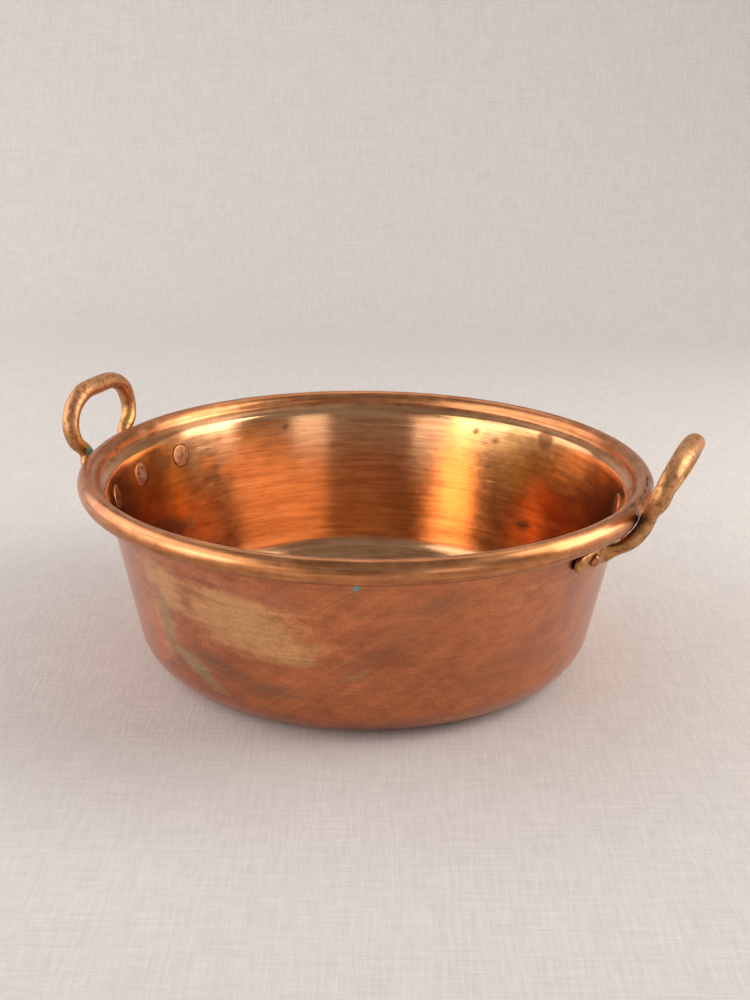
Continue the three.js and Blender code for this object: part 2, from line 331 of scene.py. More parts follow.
def panMesh(p):
    # The outline carried round the axis. Radius and height then move by a sum of slow sine waves in
    # the wall, a slow inward wave in the bead, and dents in the bead that point at the wire's middle.
    rng = np.random.default_rng(p["seed"])
    outline, beadShare, inside = panOutline(p)
    theta = panAngles()
    angle = theta[:, None]
    r = np.repeat(outline[None, :, 0], len(theta), axis=0)
    z = np.repeat(outline[None, :, 1], len(theta), axis=0)
    steps = np.linalg.norm(np.diff(outline, axis=0), axis=1)
    length = np.concatenate([[0], np.cumsum(steps)])

    waves = sum(
        rng.uniform(0.4, 1) * np.sin(m * angle + n * z / 30 + rng.uniform(0, 2 * pi))
        for m in (2, 3, 5, 9, 14) for n in (0.6, -1.1)
    )
    r = r + p["wallWave"] * waves * smoothStep(z, 6, 45) * (1 - beadShare)

    around = np.arctan2((z - p["beadZ"]) / p["beadHalfHeight"], (r - beadX) / p["beadHalfWidth"])
    ripple = sum(np.sin(m * angle + rng.uniform(0, 2 * pi)) for m in (3, 7, 16, 31, 45)) / 5
    dent = p["rimWave"] * (0.5 + 0.5 * ripple) * np.ones_like(r)
    grooves = np.zeros_like(r)
    for turn in handleTurns.values():
        arc = wrapped(angle - radians(turn)) * p["rimRadius"]
        beside = np.exp(-((np.abs(arc) - p["legArc"]) / 5.5) ** 2)
        between = smoothStep(-np.abs(arc), -p["legArc"] - 1, -p["legArc"] + 6)
        trailing = smoothStep(-np.abs(arc), -p["legArc"] - 45, -p["legArc"])
        outer = smoothStep(np.cos(around - radians(-15)), 0.1, 0.85)
        crease = np.exp(-((around - radians(p["grooveTurn"])) / radians(8)) ** 2)
        crumple = 1 + 0.25 * np.sin(arc * 1.3 + 4 * around)
        dent += outer * (p["legCrush"] * beside * crumple + 0.5 * between)
        groove = crease * trailing * (0.75 + 0.25 * np.sin(arc * 0.4))
        dent += p["grooveDepth"] * groove
        grooves += groove
    dent = dent * beadShare
    r = r - dent * np.cos(around) - legDent(p, angle) * beadShare
    z = z - dent * np.sin(around)

    points = np.stack([r * np.cos(angle), r * np.sin(angle), z], axis=-1)
    poles = np.array([[0, 0, 0], [0, 0, p["sheet"]]])
    mesh = meshFromGrid("panCopper", points, closedU=True, poles=poles)

    def spread(values, atPoles):  # one value for each vertex, then the two poles
        full = np.broadcast_to(values, r.shape).ravel()
        return np.concatenate([full, atPoles])

    slide = angle - length[None] / p["streakClimb"]  # turned further the higher it is, so streaks climb
    for name, turned, high in (("unrolled", angle, length[None]), ("slanted", slide, length[None])):
        parts = [spread(meanRadius * mm * np.cos(turned), (0, 0)),
                 spread(meanRadius * mm * np.sin(turned), (0, 0)),
                 spread(high * mm, (0, length[-1] * mm))]
        writeAttribute(mesh, name, np.stack(parts, axis=1))
    writeAttribute(mesh, "inside", spread(inside, (0, 1)))
    writeAttribute(mesh, "bead", spread(beadShare, (0, 0)))
    within = inside[None] > 0.5
    wallShare = 1 - beadShare[None]
    for name, spots in patches.items():
        face = within if name in ("stain", "spots", "yellow") else ~within
        writeAttribute(mesh, name, spread(patchField(angle, z, spots) * face * wallShare, (0, 0)))

    # painted shade: a dark line under the bead where the curl meets the wall, and dark in the dents and the
    # crease beside the legs
    seamLength = np.interp(p["seamHeight"], outline[:60, 1], length[:60])
    seam = np.exp(-((length[None] - seamLength) / 2.2) ** 2) * ~within
    legs = besideLegs(p, angle, 6)
    hollow = 0.8 * legs * np.clip(dent / 1.5, 0, 1) + 0.9 * grooves * beadShare
    writeAttribute(mesh, "dirt", spread(np.clip(0.85 * seam + hollow, 0, 1), (0, 0)))
    green = sum(np.exp(-((wrapped(angle - radians(turn)) * greenRadius / size) ** 2
                         + ((z - level) / size) ** 2)) for turn, level, size in greenSpots)
    damp = legs * np.exp(-((around - radians(-60)) / 0.5) ** 2) * beadShare * 0.55
    writeAttribute(mesh, "green", spread(np.clip(green * ~within + damp, 0, 1), (0, 0)))
    return mesh


# Raised copper sheet, brushed on the lathe, tarnished and scrubbed: an orange-brown metal that is
# mirror-like inside with rings of fine lines, and dull and streaky outside under a thin brown film.
copperFinish = {
    "outside": "#cd763d",
    "outsideDeep": "#a9592b",
    "bead": "#cf8b5c",
    "beadDeep": "#aa6a40",
    "inside": "#d9a274",
    "insideDeep": "#bf8359",
    # painted shade under the bead and in the dents and crease by the legs
    "dirt": "#2b1a10",
    "green": "#4f9a92",
    "roughness": {"wall": (0.40, 0.19), "bead": 0.31},  # the wall's outside and inside
    "layers": [  # attribute, colour, how far noise eats into it, metal's roughness there
        ("tan", "#dfa468", 0.7, 0.38),
        ("brown", "#8e5a39", 0.6, 0.42),
        ("greyGreen", "#b09264", 0.7, 0.42),
        ("oxide", "#bd6c45", 0.8, 0.46),
        ("red", "#dc6440", 0.6, 0.42),
        ("yellow", "#e6af6a", 0.5, 0.17),
        ("spots", "#7a4b30", 0.5, 0.30),
        ("stain", "#d07c42", 0.5, 0.22),
    ],
    "brushPitch": 1.1,  # mm between brushed lines, coarser than the real 0.2 mm so that they show
    "streakPitch": 3.5,
    "streakLength": 45.0,
    "scratchWidth": 0.7,
    "scratch": "#efb078",
}


def wornCopperSheet(c):
    layerNames = [layer[0] for layer in c["layers"]]
    material, v = startMaterial("wornCopperSheet", ["inside", "bead", "dirt", "green"] + layerNames)
    for name in ("unrolled", "slanted"):
        v[name] = addNode(material.node_tree, "Attribute", output="Vector", attribute_name=name)

    long, fine = 1000 / c["streakLength"], 1000 / c["scratchWidth"]
    noises = {  # where, features per metre along x, y and z, detail, roughness, shift
        "cloud": ("object", (14, 14, 20), 5, 0.55, 0),
        "mottle": ("object", (70, 70, 110), 6, 0.65, 0),
        "grain": ("object", (900, 900, 900), 3, 0.6, 0),
        "streaks": ("unrolled", (long, long, 1000 / c["streakPitch"]), 6, 0.62, 2),
        "brush": ("unrolled", (long, long, 1000 / c["brushPitch"]), 3, 0.6, 5),
        "smears": ("slanted", (110, 110, 8), 5, 0.6, 0),
        "climbing": ("slanted", (fine, fine, 38), 1, 0.5, 3),
        "rings": ("unrolled", (34, 34, fine), 1, 0.5, 9),
    }
    for name, (where, scale, detail, roughness, shift) in noises.items():
        followRecipe(material, v, [("spot", "place", where, scale, (shift, shift, 0)),
                                   (name, "noise", "spot", 1.0, detail, roughness)])

    followRecipe(material, v, [
        ("outward", "SUBTRACT", 1.0, "inside"),
        ("beadShare", "sharpen", "bead", 0.2, 0.9),
        ("crossing", "sharpen", "climbing", 0.70, 0.76),
        ("crossing", "MULTIPLY", "crossing", "outward"),
        ("circling", "sharpen", "rings", 0.70, 0.77, 0.7),
        ("scratches", "MAXIMUM", "crossing", "circling"),
        # ground colours of the outside, the inside and the bead
        ("fleck", "MULTIPLY", "mottle", 0.3),
        ("mixed", "MULTIPLY_ADD", "smears", 0.25, "fleck"),
        ("uneven", "MULTIPLY", "cloud", 0.45),
        ("uneven", "ADD", "uneven", "mixed"),
        ("uneven", "sharpen", "uneven", 0.36, 0.64),
        ("outer", "blend", "uneven", c["outsideDeep"], c["outside"]),
        ("banded", "MULTIPLY", "streaks", 0.6),
        ("banded", "MULTIPLY_ADD", "cloud", 0.4, "banded"),
        ("banded", "sharpen", "banded", 0.36, 0.6),
        ("inner", "blend", "banded", c["insideDeep"], c["inside"]),
        ("ringed", "MULTIPLY_ADD", "streaks", 0.7, "fleck"),
        ("ringed", "sharpen", "ringed", 0.36, 0.62),
        ("beadColour", "blend", "ringed", c["beadDeep"], c["bead"]),
        ("colour", "blend", "inside", "outer", "inner"),
        ("colour", "blend", "beadShare", "colour", "beadColour"),
        ("rough", "between", "inside", *c["roughness"]["wall"]),
        ("rough", "between", "beadShare", "rough", c["roughness"]["bead"]),
        ("half", "MULTIPLY", "streaks", 0.5),
        ("eaten", "MULTIPLY_ADD", "mottle", 0.5, "half"),
        ("eaten", "SUBTRACT", "eaten", 0.5),
    ])

    # tarnish: each field eaten into by streaks and mottling
    for name, hexColour, bite, roughness in c["layers"]:
        followRecipe(material, v, [
            ("reach", "MULTIPLY_ADD", "eaten", 2.4 * bite, name),
            ("reach", "sharpen", "reach", 0.15, 0.75),
            ("present", "sharpen", name, 0.02, 0.2),
            ("amount", "MULTIPLY", "reach", "present"),
            ("share", "MULTIPLY", "amount", 0.9),
            ("colour", "blend", "share", "colour", hexColour),
            ("rough", "between", "amount", "rough", roughness),
        ])

    followRecipe(material, v, [
        # speckle of the scrubbed film, fainter inside, and bright scratches through it
        ("speck", "range", "grain", 0.3, 0.7, 0.8, 1.15),
        ("lines", "range", "brush", 0.3, 0.7, 0.88, 1.1),
        ("blotch", "range", "mottle", 0.35, 0.65, 0.92, 1.06),
        ("scrubbed", "MULTIPLY_ADD", "outward", 0.75, 0.25),
        ("speck", "SUBTRACT", "speck", 1.0),
        ("speck", "MULTIPLY_ADD", "speck", "scrubbed", 1.0),
        ("tint", "MULTIPLY", "speck", "lines"),
        ("tint", "MULTIPLY", "tint", "blotch"),
        ("colour", "scale", "colour", "tint"),
        ("worn", "MULTIPLY_ADD", "outward", 0.4, 0.1),
        ("worn", "MULTIPLY", "scratches", "worn"),
        ("colour", "blend", "worn", "colour", c["scratch"]),
        # painted shade, then green spots
        ("grime", "MULTIPLY_ADD", "mottle", 0.5, "dirt"),
        ("grime", "sharpen", "grime", 0.5, 1.0),
        ("grime", "MULTIPLY", "grime", 0.9),
        ("colour", "blend", "grime", "colour", c["dirt"]),
        ("crust", "MULTIPLY_ADD", "mottle", 0.4, "green"),
        ("crust", "sharpen", "crust", 0.55, 0.75),
        ("colour", "blend", "crust", "colour", c["green"]),
        ("cover", "MULTIPLY", "grime", 0.7),
        ("cover", "MAXIMUM", "crust", "cover"),
        ("metallic", "SUBTRACT", 1.0, "cover"),
        ("unlike", "SUBTRACT", "mottle", 0.5),
        ("rough", "MULTIPLY_ADD", "unlike", 0.16, "rough"),
        ("rough", "MULTIPLY_ADD", "cover", 0.4, "rough"),
        # heights in mm
        ("pocks", "MULTIPLY", "grain", "outward"),
        ("pocks", "MULTIPLY", "pocks", 0.005),
        ("height", "MULTIPLY_ADD", "brush", 0.010, "pocks"),
        ("height", "MULTIPLY_ADD", "mottle", 0.03, "height"),
        ("height", "MULTIPLY_ADD", "scratches", -0.02, "height"),
        ("bump", "bump", "height", mm),
    ])
    ring = addNode(material.node_tree, "Tangent", direction_type="RADIAL", axis="Z")
    # the coat is a dull old film, outside only, paler where it is seen edge on
    return finishMaterial(material, v, Anisotropic=0.35, Anisotropic_Rotation=0.25, Tangent=ring,
                          Coat_Weight=v["outward"], Coat_Roughness=0.34)


panCopper = addPiece("pan_copper", panMesh(pan), wornCopperSheet(copperFinish))
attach(panCopper, "root")
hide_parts("pan_shell")
print("pan raised:", len(panCopper.data.polygons), "faces")


# ---- iron wire inside the bead ----

# Drawn iron, rusted where damp gets under the curl: dark, nearly black metal with brown rust.
def rustedIronWire():
    material, v = startMaterial("rustedIronWire")
    followRecipe(material, v, [
        ("rust", "noise", "object", 160.0, 6.0),
        ("amount", "range", "rust", 0.4, 0.6),
        ("colour", "blend", "amount", "#3c3733", "#5b3320"),
        ("metallic", "range", "amount", 0.0, 1.0, 1.0, 0.2),
        ("rough", "range", "amount", 0.0, 1.0, 0.5, 0.85),
        ("bump", "bump", "rust", 0.1 * mm),
    ])
    return finishMaterial(material, v)


def wireMesh(p):
    # A circle of the wire's radius carried round the rim, pushed inwards as the bead is at the legs.
    angle = panAngles()[:, None]
    turn = np.linspace(0, 2 * pi, 20, endpoint=False)[None]
    r = beadX - legDent(p, angle) + p["wireRadius"] * np.cos(turn)
    z = p["beadZ"] + p["wireRadius"] * np.sin(turn) + np.zeros_like(angle)
    points = np.stack([r * np.cos(angle), r * np.sin(angle), z], axis=-1)
    return meshFromGrid("ironWire", points, closedU=True, closedV=True)


rimWire = addPiece("rim_wire_bent", wireMesh(pan), rustedIronWire())
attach(rimWire, "root")
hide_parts("rim_wire")
print("wire bent round the rim")


# ---- handles ----

handle = {  # mm and degrees
    "strapHeight": 13.0,
    "strapHalfLength": 72.0,
    "noseLength": 7.0,
    "legBaseRadius": 5.2,
    "gripHalfDepth": 7.1,  # across the loop
    "gripHalfHeight": 6.3,  # and in its plane
    "footSwell": 1.6,  # extra half height under the bead
    "swellShare": 0.19,
    "legTuck": 1.5,  # how far a leg leans into the dent it has made in the bead
    "legDistance": 206.0,  # from the pan's axis to the rod, level with the bead
    "legHalfGap": 27.0,
    "loopHalfWidth": 40.5,
    "loopHeight": 44.0,
    "footShare": 0.14,
    "left": {"lean": 4.0, "twist": -2.8},
    "right": {"lean": 21.0, "twist": -3.4},
    "noseBluntness": 0.8,  # 1 would bring the strap's ends to a point
    "voxel": 0.85,
    "unevenness": 0.16,
    "shadeInnerRadius": 199.0,  # painted shade sits on the face towards the bead, and ends further out
    "shadeOuterRadius": 206.0,
    "greenSpots": ((201.5, 30, 133), (203, -28, 134), (198, 30, 118), (181, -70, 106), (186, 30, 104)),
    "greenSize": 4.2,
    "seeds": {"left": 21, "right": 22},
}


def rodPath(h, bend, count):
    # Centripetal Catmull-Rom curve through points on the strap, under the bead and round the loop,
    # sampled at equal steps of its length; in the handle's own turn, radius along +X.
    strapRadius = wallRadiusAt(strapZ) + fitGap + strapThickness / 2
    drop = strapZ - pan["beadZ"]
    swing = h["legDistance"] - strapRadius
    foot = Matrix.Translation((h["legDistance"], 0, pan["beadZ"]))
    twisted = foot @ Matrix.Rotation(radians(bend["twist"]), 4, "Z")
    leaning = twisted @ Matrix.Rotation(radians(bend["lean"]), 4, "Y")

    def leg(side):
        on = [(strapRadius * cos(arc / strapRadius), side * strapRadius * sin(arc / strapRadius), strapZ)
              for arc in (52, 46)]
        under = [twisted @ Vector(((share - 1) * swing, side * (h["legHalfGap"] + spread), drop + rise))
                 for share, spread, rise in ((0.1, 14, 0), (0.55, 8.5, 6), (0.84, 2.5, 15))]
        wide = h["loopHalfWidth"]
        loop = [leaning @ Vector((-tuck, side * across, up * h["loopHeight"]))
                for tuck, across, up in ((h["legTuck"], h["legHalfGap"], 0),
                                         (h["legTuck"] / 2, wide - 2.5, 0.25), (0, wide, 0.5),
                                         (0, 0.86 * wide, 0.8), (0, 0.5 * wide, 0.975))]
        return [tuple(place) for place in on + under + loop]

    knots = np.array(leg(1) + [tuple(leaning @ Vector((0, 0, h["loopHeight"])))] + leg(-1)[::-1])
    ends = np.vstack([2 * knots[0] - knots[1], knots, 2 * knots[-1] - knots[-2]])
    t = np.linspace(0, 1, 30, endpoint=False)[:, None]
    pieces = []
    for p0, p1, p2, p3 in zip(ends, ends[1:], ends[2:], ends[3:]):  # a dozen spans
        d0, d1, d2 = (np.sqrt(np.linalg.norm(b - a)) for a, b in ((p0, p1), (p1, p2), (p2, p3)))
        m1 = ((p1 - p0) / d0 - (p2 - p0) / (d0 + d1) + (p2 - p1) / d1) * d1
        m2 = ((p2 - p1) / d1 - (p3 - p1) / (d1 + d2) + (p3 - p2) / d2) * d1
        square, cube = 3 * (p2 - p1) - 2 * m1 - m2, 2 * (p1 - p2) + m1 + m2
        pieces.append(p1 + m1 * t + square * t ** 2 + cube * t ** 3)
    line = np.vstack(pieces + [knots[-1:]])
    walked = np.concatenate([[0], np.cumsum(np.linalg.norm(np.diff(line, axis=0), axis=1))])
    even = np.linspace(0, walked[-1], count)
    return np.stack([np.interp(even, walked, line[:, k]) for k in range(3)], axis=1)


def rodGrid(h, bend):
    # An ellipse carried along the path, one axis kept outwards: flat where it leaves the strap, taller
    # under the bead, round by footShare of the length, and thickest in the middle of the grip.
    centre = rodPath(h, bend, 260)
    along = np.gradient(centre, axis=0)
    along /= np.linalg.norm(along, axis=1)[:, None]
    out = np.array([1.0, 0, 0])
    across = out - (along @ out)[:, None] * along
    across /= np.linalg.norm(across, axis=1)[:, None]
    other = np.cross(across, along)
    t = np.linspace(0, 1, len(centre))
    fromEnd = np.minimum(t, 1 - t)
    roundness = smoothStep(fromEnd, 0, h["footShare"])
    grip = smoothStep(fromEnd, h["footShare"], 0.5)
    low = np.clip(fromEnd / h["swellShare"], 0, 1)
    swell = 4 * h["footSwell"] * low * (1 - low)
    rodDepth = h["legBaseRadius"] + (h["gripHalfDepth"] - h["legBaseRadius"]) * grip
    rodHeight = h["legBaseRadius"] + (h["gripHalfHeight"] - h["legBaseRadius"]) * grip
    depth = 0.4 * strapThickness * (1 - roundness) + rodDepth * roundness
    height = 0.47 * h["strapHeight"] * (1 - roundness) + rodHeight * roundness + swell
    turn = np.linspace(0, 2 * pi, 28, endpoint=False)
    ringX, ringY = np.cos(turn)[None, :, None], np.sin(turn)[None, :, None]
    return (centre[:, None] + ringX * (depth[:, None] * across)[:, None]
            + ringY * (height[:, None] * other)[:, None])


def onWall(angle, up, proud):
    # a place on the outside of the wall's cone at strap height: up its slope and out along its normal
    radius = wallRadiusAt(strapZ) + proud * cos(lean) + up * sin(lean)
    return np.stack([radius * np.cos(angle), radius * np.sin(angle),
                     strapZ - proud * sin(lean) + up * cos(lean)], axis=-1)


def strapGrid(h):
    # A rounded bar bent along the wall's cone: a superellipse section of power 4.5, its height
    # narrowed towards a blunt nose at both ends.
    arc = np.linspace(-h["strapHalfLength"], h["strapHalfLength"], 160)[:, None]
    past = np.clip((np.abs(arc) - h["strapHalfLength"] + h["noseLength"]) / h["noseLength"], 0, 1)
    narrow = np.sqrt(np.clip(1 - h["noseBluntness"] * past ** 2, 0, 1))
    turn = np.linspace(0, 2 * pi, 40, endpoint=False)[None]
    power = 2 / 4.5
    high = np.sign(np.sin(turn)) * np.abs(np.sin(turn)) ** power * h["strapHeight"] / 2 * narrow
    deep = np.sign(np.cos(turn)) * np.abs(np.cos(turn)) ** power * strapThickness / 2
    return onWall(arc / wallRadiusAt(strapZ), high, fitGap + strapThickness / 2 + deep)


def handleMesh(side):
    # Rod and strap made one skin of small quads, smoothed as a casting is, then moved along the
    # normal by a sum of slow sine waves.
    h = handle
    parts = [meshFromGrid("rod", rodGrid(h, h[side]), closedV=True, capped=True),
             meshFromGrid("strap", strapGrid(h), closedV=True, capped=True)]
    both = bpy.data.meshes.new("rodAndStrap")
    count = len(parts[0].vertices)
    faces = [tuple(f.vertices) for f in parts[0].polygons]
    faces += [tuple(v + count for v in f.vertices) for f in parts[1].polygons]
    both.from_pydata((np.vstack([verticesOf(part) for part in parts]) * mm).tolist(), [], faces)
    blank = bpy.data.objects.new("blank", both)
    bpy.context.scene.collection.objects.link(blank)
    remesh = blank.modifiers.new("skin", "REMESH")
    remesh.mode, remesh.voxel_size = "VOXEL", h["voxel"] * mm
    smooth = blank.modifiers.new("soften", "SMOOTH")
    smooth.factor, smooth.iterations = 0.5, 7
    mesh = bpy.data.meshes.new_from_object(blank.evaluated_get(bpy.context.evaluated_depsgraph_get()))
    bpy.data.objects.remove(blank)
    mesh.name = side + "Handle"

    place = verticesOf(mesh)
    normals = np.empty(3 * len(mesh.vertices))
    mesh.vertices.foreach_get("normal", normals)
    normals = normals.reshape(-1, 3)
    rng = np.random.default_rng(h["seeds"][side])
    waves = np.zeros(len(place))
    for wavelength in (55, 38, 27, 19, 13, 9):
        ways = rng.normal(size=3)
        ways *= 2 * pi / wavelength / np.linalg.norm(ways)
        waves += np.sin(place @ ways + rng.uniform(0, 2 * pi)) * (wavelength / 55) ** 0.5
    fromWall = np.hypot(place[:, 0], place[:, 1]) - wallRadiusAt(place[:, 2])
    waves *= smoothStep(fromWall, 1.0, 4.0)  # the face against the wall stays true
    place = place + normals * (h["unevenness"] * (waves / 2 - 0.6))[:, None]

    # painted shade: dark where the handle lies against the wall, and under the bead beside the legs
    beside = np.abs(place[:, 1]) - pan["legArc"]
    foot = np.exp(-(beside / 7) ** 2) * smoothStep(-place[:, 2], -pan["beadZ"] - 9, -pan["beadZ"] + 1)
    behind = 1 - smoothStep(fromWall, 0.8, 2.4)
    under = foot * (1 - smoothStep(place[:, 0], h["shadeInnerRadius"], h["shadeOuterRadius"]))
    green = sum(np.exp(-np.sum((place - np.array(spot)) ** 2, axis=1) / h["greenSize"] ** 2)
                for spot in h["greenSpots"])
    turn = radians(handleTurns[side])
    turned = np.stack([place[:, 0] * cos(turn) - place[:, 1] * sin(turn),
                       place[:, 0] * sin(turn) + place[:, 1] * cos(turn), place[:, 2]], axis=1)
    mesh.vertices.foreach_set("co", (turned * mm).ravel())
    mesh.update()
    writeAttribute(mesh, "dirt", np.clip(behind + 0.8 * under, 0, 1))
    writeAttribute(mesh, "green", np.clip(green, 0, 1))
    # painted highlight: a pinker colour on the top of the grip
    writeAttribute(mesh, "grip", smoothStep(place[:, 2], 140, 165))
    return mesh


# Sand-cast bronze worn by hands: golden brown, satin, with small pits left by the mould's sand and darker
# metal in the hollows;
# painted shade where the strap meets the wall and under the bead, and a painted highlight on the top of the
# grip.
bronzeFinish = {
    "base": "#c08a5a",
    "deep": "#7d5230",
    "golden": "#d29c58",
    # painted highlight on the top of the grip
    "gripHighlight": "#c88d64",
    # painted shade where the strap meets the wall and under the bead
    "dirt": "#2a1b12",
    "green": "#4d9791",
    "pitSize": 1.4,  # mm between pits
}


def wornCastBronze(c):
    material, v = startMaterial("wornCastBronze", ("dirt", "green", "grip"))
    noises = {"cloud": (60, 4, 0), "mottle": (260, 5, 1), "grain": (1500, 2, 2)}  # scale, detail, shift
    for name, (scale, detail, shift) in noises.items():
        followRecipe(material, v, [("spot", "place", "object", (1, 1, 1), (shift, shift, shift)),
                                   (name, "noise", "spot", scale, detail, 0.6)])
    followRecipe(material, v, [
        ("pits", "cells", "object", 1000 / c["pitSize"]),
        ("pit", "sharpen", "pits", 0.0, 0.42),
        ("amount", "sharpen", "cloud", 0.4, 0.62),
        ("colour", "blend", "amount", c["base"], c["golden"]),
        # painted highlight on the top of the grip
        ("amount", "MULTIPLY", "grip", 0.7),
        ("colour", "blend", "amount", "colour", c["gripHighlight"]),
        ("amount", "sharpen", "mottle", 0.48, 0.66, 0.7),
        ("colour", "blend", "amount", "colour", c["deep"]),
        ("hollow", "SUBTRACT", 1.0, "pit"),
        ("hollow", "MULTIPLY", "hollow", 0.55),
        ("colour", "blend", "hollow", "colour", c["deep"]),
        # painted shade where the strap meets the wall and under the bead
        ("grime", "MULTIPLY_ADD", "mottle", 0.6, "dirt"),
        ("grime", "sharpen", "grime", 0.5, 1.1, 0.92),
        ("colour", "blend", "grime", "colour", c["dirt"]),
        ("crust", "MULTIPLY_ADD", "mottle", 0.9, "green"),
        ("crust", "sharpen", "crust", 0.85, 1.1, 0.9),
        ("colour", "blend", "crust", "colour", c["green"]),
        ("cover", "MULTIPLY", "grime", 0.7),
        ("cover", "MAXIMUM", "crust", "cover"),
        ("metallic", "SUBTRACT", 1.0, "cover"),
        ("unlike", "SUBTRACT", "mottle", 0.5),
        ("rough", "MULTIPLY_ADD", "unlike", 0.3, 0.47),
        ("rough", "MULTIPLY_ADD", "cover", 0.4, "rough"),
        # heights in mm
        ("height", "MULTIPLY", "grain", 0.03),
        ("height", "MULTIPLY_ADD", "pit", 0.05, "height"),
        ("height", "MULTIPLY_ADD", "mottle", 0.16, "height"),
        ("bump", "bump", "height", mm),
    ])
    return finishMaterial(material, v)


castBronze = wornCastBronze(bronzeFinish)
for side in handleTurns:
    piece = addPiece("handle_" + side + "_cast", handleMesh(side), castBronze)
    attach(piece, "root")
    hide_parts("handle_" + side)
    print(side, "handle cast:", len(piece.data.polygons), "faces")


# ---- rivets ----

rivet = {  # mm
    "shankRadius": 3.1,
    "innerHeadRadius": 8.4,
    "innerHeadHeight": 0.55,
    "innerHeadGap": 0.3,
    "shadeRingWidth": 0.9,  # a dark ring of painted shade round the inner head
    "outerHeadRadius": 4.5,
    "outerHeadHeight": 2.9,
}


def rivetMesh(r, angle, seed, rubbed):
    # A profile of (distance along the wall's normal, radius) from the head inside to the head
    # outside, carried round the normal; the radius swells by a few slow sines, the outer head's
    # height by hammer facets.
    rng = np.random.default_rng(seed)
    inner = -pan["sheet"] - r["innerHeadGap"]
    outer = strapThickness + 2 * fitGap
    tall, wide = r["innerHeadHeight"], r["innerHeadRadius"]
    lip = 0.25  # of the outer head, above and below its face
    turn = np.linspace(0, pi / 2, 7)
    flatFace = [(inner - tall * (1 - 0.15 * share ** 2), share * (wide - 0.8))
                for share in np.linspace(0.08, 1, 9)]
    roundEdge = [(inner - tall * 0.85 * cos(a), wide - 0.8 + 0.8 * sin(a)) for a in turn[1:]]
    # painted shade: a thin dark ring lying on the wall round the inner head
    shadeRing = [(inner + 0.12, wide + 0.1), (inner + 0.2, wide + r["shadeRingWidth"])]
    shank = shadeRing + [(inner + 0.9, wide), (inner + 1.0, r["shankRadius"]), (outer - lip, r["shankRadius"])]
    high, big = r["outerHeadHeight"], r["outerHeadRadius"]
    headEdge = [(outer - 0.2, big * 0.97), (outer + lip, big)]
    dome = [(outer + lip + (high - lip) * sin(a) ** 0.9, big * cos(a) ** 0.8) for a in turn[1:-1]]
    top = [(outer + high, 0.25 * big)]
    profile = np.array(flatFace + roundEdge + shank + headEdge + dome + top)
    around = np.linspace(0, 2 * pi, 48, endpoint=False)[:, None]
    swell = 1 + sum(rng.uniform(-0.022, 0.022) * np.sin(m * around + rng.uniform(0, 6)) for m in (1, 2, 3, 5))
    radius = profile[None, :, 1] * np.minimum(swell, 1.0)
    along = np.repeat(profile[None, :, 0], len(around), axis=0)
    facets = np.cos(3 * around + rng.uniform(0, 6)) + 0.6 * np.cos(5 * around + rng.uniform(0, 6))
    along = along - np.where(along > outer + 0.3, 0.13 * (facets + 1.6) * radius / big, 0)
    tilt = rng.uniform(-0.05, 0.05)  # the flat head was not set quite square
    along = along + np.where(along < inner, tilt * radius / wide * np.cos(around), 0)
    ends = np.array([[profile[0, 0], 0], [profile[-1, 0], 0]])
    normal = np.array([cos(lean) * cos(angle), cos(lean) * sin(angle), -sin(lean)])
    side = np.array([-sin(angle), cos(angle), 0])
    up = np.cross(normal, side)
    centre = np.array([wallRadiusAt(strapZ) * cos(angle), wallRadiusAt(strapZ) * sin(angle), strapZ])
    points = (centre + along[..., None] * normal + (radius * np.cos(around))[..., None] * side
              + (radius * np.sin(around))[..., None] * up)
    mesh = meshFromGrid("rivet", points, closedU=True, poles=centre + ends[:, :1] * normal)
    edge = np.concatenate([np.broadcast_to(profile[None, :, 1], radius.shape).ravel(), [0, 0]])
    depth = np.concatenate([along.ravel(), ends[:, 0]])
    # painted highlight: a bright ring at the edge of each head; painted shade: a dark ring round the inner
    # head
    rim = np.where(depth < 0, smoothStep(edge, wide - 1.3, wide - 0.3), smoothStep(edge, 3.4, 4.4))
    writeAttribute(mesh, "rim", rim)
    writeAttribute(mesh, "dirt", smoothStep(edge, wide, wide + 0.3) * (depth < 0))
    writeAttribute(mesh, "rubbed", np.full(len(depth), rubbed))
    return mesh


# Copper rivets set cold with a hammer: brown metal with a painted highlight, a bright orange edge, on each
# head, and a dark ring of painted shade round each head inside the pan; one that is rubbed more is a pinkish
# grey.
def peenedRivetCopper():
    material, v = startMaterial("peenedRivetCopper", ("rim", "dirt", "rubbed"))
    followRecipe(material, v, [
        ("mottle", "noise", "object", 330.0, 5.0),
        ("marks", "cells", "object", 420.0),
        ("amount", "range", "mottle", 0.42, 0.6),
        ("brown", "blend", "amount", "#8e5c40", "#b07a56"),
        ("pink", "blend", "amount", "#a57a66", "#c9a08e"),
        ("face", "blend", "rubbed", "brown", "pink"),
        # painted highlight at each head's edge, then painted shade round the inner head
        ("colour", "blend", "rim", "face", "#cf7f4c"),
        ("colour", "blend", "dirt", "colour", "#3a2115"),
        ("metallic", "range", "dirt", 0.0, 1.0, 1.0, 0.3),
        ("rough", "range", "mottle", 0.3, 0.7, 0.26, 0.46),
        ("height", "MULTIPLY_ADD", "marks", 0.4, "mottle"),
        ("bump", "bump", "height", 0.12 * mm),
    ])
    return finishMaterial(material, v)


